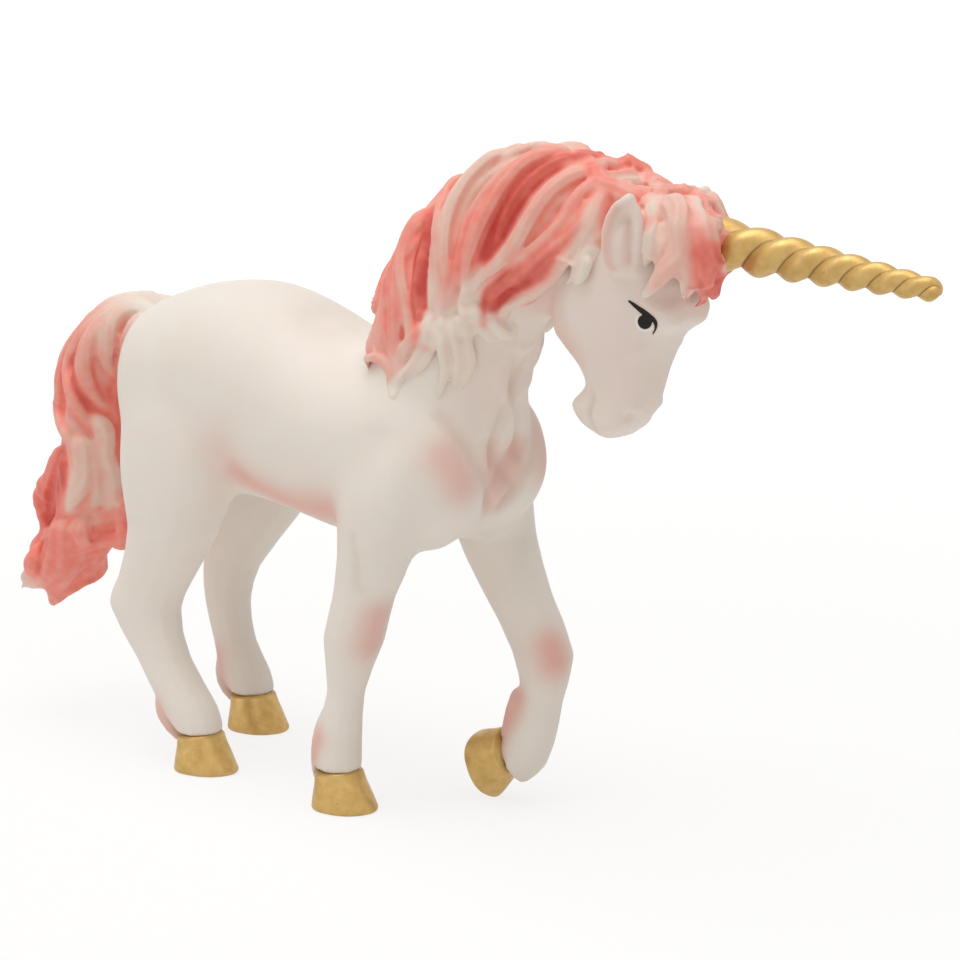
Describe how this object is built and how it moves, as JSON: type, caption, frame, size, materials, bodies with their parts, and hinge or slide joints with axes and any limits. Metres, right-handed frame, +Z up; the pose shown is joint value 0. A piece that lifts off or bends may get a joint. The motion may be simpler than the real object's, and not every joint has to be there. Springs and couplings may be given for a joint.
{
  "type": "unicorn figurine",
  "caption": "Free-standing moulded vinyl unicorn figurine, walking with its left foreleg bent, with glued-on head, legs, painted hooves, twisted horn, mane, forelock and tail.",
  "frame": {"origin": "middle of the bounding box, on the ground under the hooves", "axes": "+X the way the animal faces, +Y to its left, +Z up"},
  "size_m": [0.1646, 0.0328, 0.0948],
  "materials": {
    "white_vinyl": "matte cream-white painted vinyl with airbrushed pink",
    "pink_vinyl": "matte salmon-pink painted vinyl with pale tips",
    "gold_paint": "brushed-on metallic gold paint over vinyl, worn on the edges"
  },
  "bodies": {
    "root": {"body": "white_vinyl", "head": "white_vinyl", "right_foreleg": "white_vinyl", "left_foreleg": "white_vinyl", "right_hindleg": "white_vinyl", "left_hindleg": "white_vinyl", "right_fore_hoof": "gold_paint", "left_fore_hoof": "gold_paint", "right_hind_hoof": "gold_paint", "left_hind_hoof": "gold_paint", "horn": "gold_paint", "mane": "pink_vinyl", "forelock": "pink_vinyl", "tail": "pink_vinyl"}
  },
  "joints": []
}
